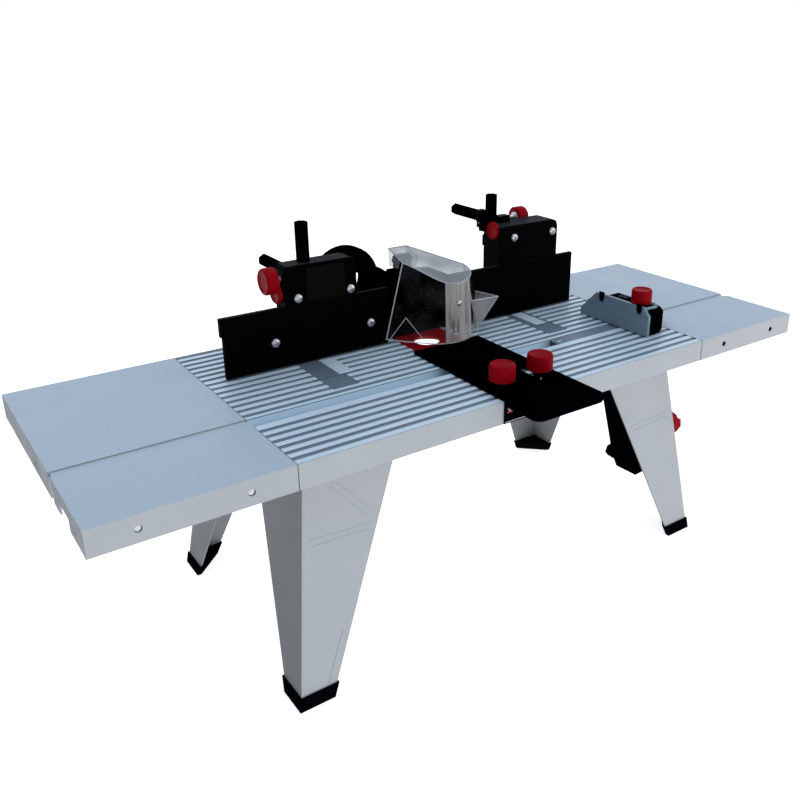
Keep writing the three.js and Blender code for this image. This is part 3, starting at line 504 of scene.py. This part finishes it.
def refine(node, width=0.5, segments=2, angle=32):
    """The CAD node's own shape, with its flat faces joined and its edges rounded."""
    source = frame["nodes"][node]
    bm = bmesh.new()
    bm.from_mesh(source.data)
    bmesh.ops.remove_doubles(bm, verts=bm.verts, dist=2e-6)
    bmesh.ops.dissolve_limit(bm, angle_limit=math.radians(0.4), verts=bm.verts, edges=bm.edges)
    obj = to_object(bm, node + ".shape", in_metres=True)
    soften(obj, width, segments, angle)
    return dress(obj, source["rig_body"], SLOT_OF[node], [node], LOOKS.get(node))


def ring(bm, radius, z, sides, turn=0.0):
    points = []
    for i in range(sides):
        angle = 2 * math.pi * i / sides + turn
        points.append(bm.verts.new((radius * math.cos(angle), radius * math.sin(angle), z)))
    return points


def bridge(bm, lower, upper):
    count = len(lower)
    for i in range(count):
        j = (i + 1) % count
        bm.faces.new((lower[i], lower[j], upper[j], upper[i]))


def lathe(profile, sides=32):
    """A closed solid of revolution about z from (radius, z) points, first and last near the axis."""
    bm = bmesh.new()
    rings = [ring(bm, radius, z, sides) for radius, z in profile]
    for lower, upper in zip(rings, rings[1:]):
        bridge(bm, lower, upper)
    bm.faces.new(reversed(rings[0]))
    bm.faces.new(rings[-1])
    return bm


def along(axis, place, sign=1):
    """A matrix that stands a shape made along z on a place, pointing along an axis."""
    direction = {"x": Vector((sign, 0, 0)), "y": Vector((0, sign, 0)), "z": Vector((0, 0, sign))}[axis]
    return Matrix.Translation(Vector(place)) @ direction.to_track_quat("Z", "Y").to_matrix().to_4x4()


# ---- screws and knobs -----------------------------------------------------------------------------
def screw_mesh(radius, height):
    bm = lathe([(radius * 0.35, -1.0), (radius, 0), (radius, height * 0.25), (radius * 0.92, height * 0.6),
                (radius * 0.7, height * 0.88), (radius * 0.35, height)], 28)
    head = to_object(bm, "screw_head", in_metres=True)
    cross = bmesh.new()
    for turn in (0, math.pi / 2):
        made = bmesh.ops.create_cube(cross, size=1)["verts"]
        bar = Matrix.Diagonal((radius * 1.05, radius * 0.24, height * 0.9, 1))
        shape = Matrix.Rotation(turn, 4, "Z") @ bar
        bmesh.ops.transform(cross, verts=made, matrix=Matrix.Translation((0, 0, height * 0.95)) @ shape)
    cutter = to_object(cross, "screw_cross", in_metres=True)
    cut(head, [cutter])
    mesh = head.data
    bpy.data.objects.remove(head)
    return mesh


def cut(obj, cutters):
    for cutter in cutters:
        modifier = obj.modifiers.new("cut", "BOOLEAN")
        modifier.operation = "DIFFERENCE"
        modifier.solver = "EXACT"
        modifier.use_self = True
        modifier.object = cutter
    apply_modifiers(obj)
    for cutter in cutters:
        bpy.data.objects.remove(cutter)


def screw(name, body, axis, place, sign, mesh, turn=0.3, slot="steel"):
    copy = mesh.copy()
    spin = Matrix.Rotation(turn, 4, "Z")
    copy.transform(TO_FRAME @ along(axis, place, sign) @ spin)
    obj = bpy.data.objects.new(name, copy)
    bpy.context.scene.collection.objects.link(obj)
    obj.data.shade_smooth()
    obj.data.set_sharp_from_angle(angle=math.radians(35))
    return dress(obj, body, slot)


def knob_mesh(radius, height, flutes=26):
    """A clamp knob's grip: shallow flutes round the side, a rounded crown and a dished top."""
    bm = bmesh.new()
    sides = flutes * 6
    levels = [(0.0, 0.94), (0.4, 0.985), (1.0, 1.0), (height - 2.6, 1.0), (height - 1.4, 0.985),
              (height - 0.5, 0.945), (height, 0.88)]
    rings = []
    for z, share in levels:
        verts = []
        fluting = 0.45 * min(1, z / 2.0) * min(1, (height - z) / 2.5)
        for i in range(sides):
            angle = 2 * math.pi * i / sides
            r = radius * share - fluting * (0.5 - 0.5 * math.cos(angle * flutes))
            verts.append(bm.verts.new((r * math.cos(angle), r * math.sin(angle), z)))
        rings.append(verts)
    rings.append(ring(bm, radius * 0.80, height, sides))
    rings.append(ring(bm, radius * 0.74, height - 0.7, sides))
    rings.append(ring(bm, radius * 0.3, height - 0.8, sides))
    for lower, upper in zip(rings, rings[1:]):
        bridge(bm, lower, upper)
    bm.faces.new(reversed(rings[0]))
    bm.faces.new(rings[-1])
    return bm


def knob(node, axis, sign, place, height, radius, stud):
    """A grip that stands for the CAD knob, with its stud as a steel piece of its own."""
    grip = knob_mesh(radius, height)
    grip.transform(along(axis, place, sign))
    obj = to_object(grip, node + ".grip")
    obj.data.shade_smooth()
    obj.data.set_sharp_from_angle(angle=math.radians(50))
    body = frame["nodes"][node]["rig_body"]
    dress(obj, body, "red_knob", [node])
    shaft = threaded_stud(3.0, stud)
    shaft.transform(along(axis, place, -sign))
    bolt = to_object(shaft, node + ".stud")
    bolt.data.shade_smooth()
    bolt.data.set_sharp_from_angle(angle=math.radians(40))
    dress(bolt, body, "steel")
    collar = lathe([(2.6, 0.2), (6.4, 0.2), (6.6, -0.5), (5.6, -1.6), (3.4, -1.6)], 32)
    collar.transform(along(axis, place, sign))
    washer = to_object(collar, node + ".collar")
    soften(washer, 0, angle=30)
    dress(washer, body, "steel")


def threaded_stud(radius, length, pitch=1.0):
    """A stud with rings for its thread, from its head at z = 0 to its point."""
    profile = [(radius * 0.5, -0.3), (radius * 0.98, -0.3)]
    steps = int(length / pitch) - 1
    for i in range(steps):
        profile += [(radius, (i + 0.5) * pitch), (radius * 0.88, (i + 1) * pitch)]
    profile += [(radius * 0.6, length - 0.1), (radius * 0.3, length)]
    return lathe(profile, 20)


# ---- the pieces -------------------------------------------------------------------------------------
REFINED = {
    "table_top": (0.3, 2),
    "front_apron": (0.5, 3),
    "rear_apron": (0.5, 3),
    "left_rail": (0.4, 2),
    "right_rail": (0.4, 2),
    "left_wing": (0.6, 3),
    "right_wing": (0.6, 3),
    "insert_plate": (0.5, 3),
    "router_mounting_plate": (0.5, 2),
    "name_plate": (0.25, 2),
    "work_support": (0.6, 3),
    "fence_base": (0.5, 2),
    "left_fence_board": (0.6, 3),
    "right_fence_board": (0.6, 3),
    "left_guide_block": (0.8, 3),
    "right_guide_block": (0.8, 3),
    "left_post": (0.7, 3),
    "right_post": (0.7, 3),
    "left_arm": (0.7, 3),
    "right_arm": (0.7, 3),
    "dust_hood": (0.7, 3),
    "dust_port": (0.6, 3),
    "guard_bracket": (0.5, 3),
    "guard_pin": (0.3, 2),
    "mitre_bar": (0.5, 3),
    "mitre_head": (0.6, 3),
    "mitre_face": (0.4, 3),
    "mitre_clip_rear": (0.4, 3),
    "mitre_clip_front": (0.4, 3),
    "switch_housing": (0.7, 3),
    "cable_gland": (0.4, 2),
    "switch_plate": (0.6, 3),
    "stop_paddle": (0.7, 3),
    "start_button": (0.5, 3),
}
LOOKS = {"mitre_bar": "dull_steel"}
for depth in ("front", "rear"):
    for hand in ("left", "right"):
        REFINED[f"{depth}_{hand}_leg"] = (0.5, 2)
        REFINED[f"{depth}_{hand}_foot"] = (0.6, 3)

KNOBS = {
    "support_knob_left": ("z", 1, (-21.9, -124.5, 11), 17, 13.4, 22),
    "support_knob_right": ("z", 1, (27.3, -124.5, 11), 17, 13.4, 22),
    "fence_knob_left": ("z", 1, (-175, 110, 6), 15, 13, 13.5),
    "fence_knob_right": ("z", 1, (175, 110, 6), 15, 13, 13.5),
    "left_post_knob": ("x", -1, (-165.7, 66.7, 77.5), 5.4, 11.2, 22.5),
    "left_arm_knob": ("x", -1, (-171.5, 62, 93), 13, 14, 12),
    "right_post_knob": ("x", -1, (117.2, 65.5, 106.5), 5, 10.4, 13.5),
    "right_arm_knob": ("x", 1, (174.5, 97.2, 110.5), 14, 12.4, 56.5),
    "mitre_knob": ("z", 1, (223.5, -79.5, 34.4), 16, 12, 19.5),
}


# ---- beads, plates and prints ------------------------------------------------------------------------
def tube(points, radius, sides=8):
    """A round bead that follows a line of points."""
    bm = bmesh.new()
    rings = []
    for i, point in enumerate(points):
        here = Vector(point)
        ahead = Vector(points[min(i + 1, len(points) - 1)])
        behind = Vector(points[max(i - 1, 0)])
        turn = (ahead - behind).to_track_quat("Z", "Y").to_matrix()
        verts = []
        for k in range(sides):
            angle = 2 * math.pi * k / sides
            spoke = Vector((radius * math.cos(angle), radius * math.sin(angle), 0))
            verts.append(bm.verts.new(here + turn @ spoke))
        rings.append(verts)
    for lower, upper in zip(rings, rings[1:]):
        bridge(bm, lower, upper)
    bm.faces.new(reversed(rings[0]))
    bm.faces.new(rings[-1])
    return bm


def slab(corners, thickness):
    """A flat plate from its corner points, thickened against its own normal."""
    bm = bmesh.new()
    top = [bm.verts.new(c) for c in corners]
    face = bm.faces.new(top)
    face.normal_update()
    made = bmesh.ops.extrude_face_region(bm, geom=[face])
    moved = [v for v in made["geom"] if isinstance(v, bmesh.types.BMVert)]
    bmesh.ops.translate(bm, verts=moved, vec=-thickness * face.normal)
    return bm


def panel(name, corners, thickness, body, slot, look=None, width=0.0):
    obj = to_object(slab(corners, thickness), name)
    soften(obj, width, 2)
    return dress(obj, body, slot, look=look)


def merge(name, meshes, body, slot, look=None):
    """Joins several bmesh shapes into one piece."""
    whole = bmesh.new()
    for shape in meshes:
        mesh = bpy.data.meshes.new("part_of_" + name)
        shape.to_mesh(mesh)
        shape.free()
        whole.from_mesh(mesh)
        bpy.data.meshes.remove(mesh)
    obj = to_object(whole, name)
    obj.data.shade_smooth()
    obj.data.set_sharp_from_angle(angle=math.radians(40))
    return dress(obj, body, slot, look=look)


def curve_through(points, steps):
    """Points on a smooth curve that passes through every given point."""
    found = []
    places = [Vector(p) for p in points]
    for i in range(len(places) - 1):
        a, b = places[max(i - 1, 0)], places[i]
        c, d = places[i + 1], places[min(i + 2, len(places) - 1)]
        for k in range(steps):
            t = k / steps
            spot = (2 * b + (c - a) * t + (2 * a - 5 * b + 4 * c - d) * t * t
                    + (3 * b - a - 3 * c + d) * t * t * t) / 2
            found.append(spot)
    found.append(places[-1])
    return found


# ---- bit guard --------------------------------------------------------------------------------------
GUARD_FOOT = [(-45.5, 53.3, 5), (-36, 40, 5), (-21, 22.5, 5), (-8, 8.5, 5), (4, 2.6, 5), (16, 0.8, 5),
              (30, 3, 5), (43, 8.5, 5), (54, 14, 5), (60, 22, 5)]
GUARD_RIM = [(-21.5, 54, 90), (-17, 41, 87.5), (-11, 27, 83), (-4, 14, 78), (5, 5.5, 74), (16, 2.2, 72.6),
             (29, 4.5, 73.6), (40, 11, 76.3), (46, 20, 79.5), (46.5, 32, 83)]
GUARD_TAIL = [(-20, 86, 99.5), (4, 86, 99.5)]
# The stretch of the front wall's points that carries the painted reflection.
GUARD_GLARE = (24, 41)


def ruled(first, second, levels):
    """A sheet of straight lines between two curves with as many points each."""
    bm = bmesh.new()
    rows = []
    for k in range(levels + 1):
        t = k / levels
        rows.append([bm.verts.new(a.lerp(b, t)) for a, b in zip(first, second)])
    for low, high in zip(rows, rows[1:]):
        for i in range(len(low) - 1):
            bm.faces.new((low[i], low[i + 1], high[i + 1], high[i]))
    return bm


def sheet(name, bm, thickness, body, look):
    obj = to_object(bm, name)
    thick = obj.modifiers.new("thickness", "SOLIDIFY")
    thick.thickness = thickness * MM
    thick.offset = 0
    apply_modifiers(obj)
    obj.data.shade_smooth()
    obj.data.set_sharp_from_angle(angle=math.radians(35))
    return dress(obj, body, "clear_guard", look=look)


def make_guard():
    foot = curve_through(GUARD_FOOT, 6)
    rim = curve_through(GUARD_RIM, 6)
    low, high = GUARD_GLARE
    wall = sheet("bit_guard.wall", ruled(foot[:low], rim[:low], 6), 1.6, "guard", None)
    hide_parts("bit_guard")
    # The middle stretch of the front wall is paler and streaky: painted reflection of the light on the curved
    # front.
    bright = ruled(foot[low - 1:high], rim[low - 1:high], 6)
    sheet("bit_guard.bright_wall", bright, 1.6, "guard", "clear_glare")
    sheet("bit_guard.right_wall", ruled(foot[high - 1:], rim[high - 1:], 6), 1.6, "guard", None)
    for i in (27, 30):
        marks = [foot[i].lerp(rim[i], 0.16), foot[i + 1].lerp(rim[i + 1], 0.16),
                 foot[i + 1].lerp(rim[i + 1], 0.38), foot[i].lerp(rim[i], 0.38)]
        panel(f"bit_guard.slot_{i}", marks, 0.4, "guard", "clear_guard", look="window_panel")
    seat = foot[31].lerp(rim[31], 0.66) + Vector((0, -0.6, 0))
    screw("bit_guard.screw", "guard", "y", seat, -1, screw_mesh(3.4, 1.8))
    tail = []
    back_left, back_right = (Vector(p) for p in GUARD_TAIL)
    for i in range(len(rim)):
        tail.append(back_left.lerp(back_right, i / (len(rim) - 1)))
    sheet("bit_guard.roof", ruled(rim, tail, 6), 1.6, "guard", "clear_roof")
    # Pale beads along the guard's edges: painted highlight where the edges catch the light.
    beads = [tube(rim, 0.8), tube(foot, 0.7), tube([foot[0], rim[0]], 0.7), tube([foot[-1], rim[-1]], 0.8),
             tube([rim[0], back_left], 0.6), tube([rim[-1], back_right], 0.7),
             tube([back_left, back_right], 0.7), tube([rim[23], foot[23]], 0.4)]
    gusset = (-26, 42, 30)
    beads += [tube([foot[2], gusset], 0.45), tube([gusset, (-12, 30, 6)], 0.45)]
    ear_front, ear_tip, ear_rear = (50, 22.5, 41), (90, 22.5, 39.5), (79, 52, 40.5)
    ear_foot = (59.5, 22.5, 6)
    beads += [tube([ear_front, ear_tip], 0.7), tube([ear_tip, ear_foot], 0.7), tube([ear_tip, ear_rear], 0.7)]
    merge("bit_guard.edges", beads, "guard", "clear_guard", "clear_edge")
    front = slab([ear_front, ear_foot, ear_tip], 1.5)
    back = slab([ear_tip, ear_foot, (59, 30, 6), ear_rear], 1.5)
    merge("bit_guard.ear", [front, back], "guard", "clear_guard", "clear_ear")
    cheeks = []
    for x in (-20.5, 3.5):
        cheeks.append(slab([(x, 60, 91.8), (x, 68, 80), (x, 84, 80), (x, 86, 99)], 1.6))
    merge("bit_guard.cheeks", cheeks, "guard", "clear_guard", "clear_ear")


# ---- table details -------------------------------------------------------------------------------------
# Creases pressed into the front-left leg's front plate, each from one (x, z) to another.
LEG_BEADS = [
    [(-211.5, -50), (-174.4, -93)],
    [(-204, -49), (-171.5, -86)],
    [(-237.5, -94), (-175, -97)],
    [(-236.5, -100), (-180, -103)],
    [(-216.4, -191), (-238, -238)],
]
TABLE_HEIGHT = 254
LEG_REACH_TOP, LEG_REACH_BOTTOM = 108.9, 146.5


def leg_face(z):
    """How far the leg's front plate stands out from the table's middle at height z."""
    return LEG_REACH_TOP + (LEG_REACH_BOTTOM - LEG_REACH_TOP) * (-z / TABLE_HEIGHT)


def make_leg_beads():
    for hand, sign_x in (("left", 1), ("right", -1)):
        for depth, sign_y in (("front", -1), ("rear", 1)):
            beads = []
            for ends in LEG_BEADS if hand == "left" else LEG_BEADS[2:4]:
                points = []
                for k in range(9):
                    t = k / 8
                    x = ends[0][0] + (ends[1][0] - ends[0][0]) * t
                    z = ends[0][1] + (ends[1][1] - ends[0][1]) * t
                    points.append((sign_x * x, sign_y * (leg_face(z) - 0.5), z))
                beads.append(tube(points, 0.85, 10))
            merge(f"{depth}_{hand}_leg.creases", beads, "table", "painted_steel")


SCALE_X, SCALE_HALF = 134.5, 27.5
TICKS, TICK_PITCH = 22, 2.1


def level_corners(x0, x1, y0, y1, z):
    return [(x0, y0, z), (x1, y0, z), (x1, y1, z), (x0, y1, z)]


def make_scales():
    """Each pocket of the table top holds a dark plate and a lighter strip with printed ticks."""
    for hand, side in (("left", -1), ("right", 1)):
        middle = side * SCALE_X
        x0, x1 = middle - SCALE_HALF, middle + SCALE_HALF
        wells = level_corners(x0, x1, 4, 53, -0.95)
        panel(f"scale_well_{hand}", wells, 0.4, "table", "ribbed_aluminium", look="scale_well", width=0.1)
        a, b = middle + 2.5, middle + 18.5
        strip = level_corners(a, b, 5, 52, -0.6)
        panel(f"scale_plate_{hand}", strip, 0.5, "table", "ribbed_aluminium", width=0.1)
        ticks = []
        for i in range(TICKS):
            y = 7.5 + i * TICK_PITCH
            reach = 6.5 if i % 5 == 0 else 4
            for edge, way in ((a + 1.2, 1), (b - 1.2, -1)):
                u, v = sorted((edge, edge + way * reach))
                ticks.append(slab(level_corners(u, v, y, y + 0.8, -0.5), 0.12))
        merge(f"scale_ticks_{hand}", ticks, "table", "ribbed_aluminium", "scale_print")


def make_table_details():
    make_leg_beads()
    make_scales()
    make_wing_grooves()
    small = screw_mesh(3.2, 0.9)
    for i, (x, y) in enumerate(((-44, 12), (-69, -27), (67, -24), (122, -51), (-60, 48), (70, 44))):
        screw(f"top_screw_{i}", "table", "z", (x, y, -0.9), 1, small, 0.4 + i)
    rivet = lathe([(0.5, -2.2), (3.15, -2.2), (3.15, -1.2), (2.6, -0.8), (1.2, -0.75)], 24)
    rivet_mesh = to_object(rivet, "rivet_shape", in_metres=True)
    shape = rivet_mesh.data
    bpy.data.objects.remove(rivet_mesh)
    for hand, side in (("left", -1), ("right", 1)):
        for depth, sign in (("front", -1), ("rear", 1)):
            # On the right wing they are black: painted shade standing for the dark inside of open holes.
            slot = "steel" if side < 0 else "black_plastic"
            for i, x in enumerate((296.5, 386.5)):
                place = (side * x, sign * 148, -12.5)
                screw(f"{hand}_wing_{depth}_rivet_{i}", "table", "y", place, sign, shape, slot=slot)
        for i, y in enumerate((-123, 9, 131.5)):
            screw(f"{hand}_wing_end_rivet_{i}", "table", "x", (side * 425, y, -14), side, shape)
    make_label()


def make_wing_grooves():
    """A lighter strip lines the groove pressed into each wing."""
    for hand, side in (("left", -1), ("right", 1)):
        x0, x1 = sorted((side * 256.4, side * 423.4))
        corners = level_corners(x0, x1, -52, -42.4, -2.3)
        panel(f"{hand}_wing.groove", corners, 0.8, "table", "painted_steel")


def make_label():
    """A made-up mark and a row of dashes stand for the label's print."""
    y = -149.35
    mark = []
    for turn in range(4):
        angle = math.radians(45 + 90 * turn)
        u, v = math.cos(angle), math.sin(angle)
        x, z = -31.5 + 2.6 * u, -10.2 + 2.6 * v
        mark.append(slab([(x - 1.5, y, z), (x, y, z - 1.5), (x + 1.5, y, z), (x, y, z + 1.5)], 0.1))
    merge("name_plate.mark", mark, "table", "black_plastic", "red_print")
    z = -10.2
    front = y - 0.05
    diamond = [(-32.7, front, z), (-31.5, front, z - 1.2), (-30.3, front, z), (-31.5, front, z + 1.2)]
    pale = [slab(diamond, 0.1)]
    pale.append(slab([(-20.6, y, -14.9), (-19.2, y, -14.9), (-19.2, y, -13.7), (-20.6, y, -13.7)], 0.1))
    for k in range(24):
        x = -36.6 + k * 2.9
        pale.append(slab([(x, y, -22.7), (x + 1.7, y, -22.7), (x + 1.7, y, -21.7), (x, y, -21.7)], 0.1))
    merge("name_plate.lines", pale, "table", "black_plastic", "light_print")


def make_fence_details():
    """A slightly lighter panel is let into the left guide block's front."""
    y = 54.8
    corners = [(-139, y, 67.2), (-94.1, y, 67.2), (-94.1, y, 102.6), (-139, y, 102.6)]
    panel("left_block.panel", corners, 0.4, "fence", "fence_black", look="window_panel", width=0.1)


def make_mitre_details():
    """A dark cover plate on the mitre face's flange, with its adjusting slot."""
    z = 34.05
    cover = level_corners(214.2, 229.6, -96.5, -36.6, z)
    obj = to_object(slab(cover, -0.5), "mitre_face.cover")
    slots = bmesh.new()
    for y0, y1 in ((-93.5, -65.5), (-58, -46)):
        made = bmesh.ops.create_cube(slots, size=1)["verts"]
        shape = Matrix.Translation((224.2, (y0 + y1) / 2, z)) @ Matrix.Diagonal((9, y1 - y0, 4, 1))
        bmesh.ops.transform(slots, verts=made, matrix=shape)
    cut(obj, [to_object(slots, "cover_slots")])
    soften(obj, 0.15, 2)
    dress(obj, "mitre_face", "black_plastic")


PORT_X, PORT_Z, SCREW_RING = -66, 63.5, 36.4


def make_rear_details():
    """Four screws hold the dust port to its hood."""
    small = screw_mesh(2.3, 1.6)
    for i in range(4):
        angle = math.radians(45 + 90 * i)
        place = (PORT_X + SCREW_RING * math.cos(angle), 111.2, PORT_Z + SCREW_RING * math.sin(angle))
        screw(f"port_screw_{i}", "fence", "y", place, 1, small, i)


def make_support_details():
    """A sleeve stands under each of the work support's knobs."""
    for hand, x in (("left", -21.9), ("right", 27.3)):
        sleeve = lathe([(3.4, 3.7), (6.2, 3.7), (6.4, 4.4), (6.2, 10.4), (5.6, 10.9), (3.4, 10.9)], 32)
        sleeve.transform(Matrix.Translation((x, -124.5, 0)))
        merge(f"support_sleeve_{hand}", [sleeve], "support_knob_" + hand, "black_plastic")


def make_pieces():
    for node, (width, segments) in REFINED.items():
        refine(node, width, segments)
    make_guard()
    make_table_details()
    make_support_details()
    make_fence_details()
    make_mitre_details()
    make_rear_details()
    for node, (axis, sign, place, height, radius, stud) in KNOBS.items():
        knob(node, axis, sign, place, height, radius, stud)
    make_screws()


def make_screws():
    pan = screw_mesh(5.0, 2.6)
    for x in (-178.5, -64.6):
        screw(f"left_board_screw_{int(-x)}", "left_board", "y", (x, 54, 29), -1, pan)
    for x, slot in ((56, "steel"), (178.5, "fence_black")):
        screw(f"right_board_screw_{int(x)}", "right_board", "y", (x, 54, 29), -1, pan, slot=slot)
    for x, z in ((-150, 72), (-88, 72)):
        screw(f"left_block_screw_{int(-x)}", "fence", "y", (x, 54, z), -1, pan)
    for x, z in ((139, 97), (200, 97)):
        screw(f"right_block_screw_{int(x)}", "fence", "y", (x, 54, z), -1, pan)


def make_floor():
    bm = bmesh.new()
    size = 6.0
    bmesh.ops.create_grid(bm, x_segments=12, y_segments=12, size=size)
    floor = to_object(bm, "floor", in_metres=True)
    floor.data.materials.append(studio_floor())


make_camera()
make_studio()
make_pieces()
make_floor()
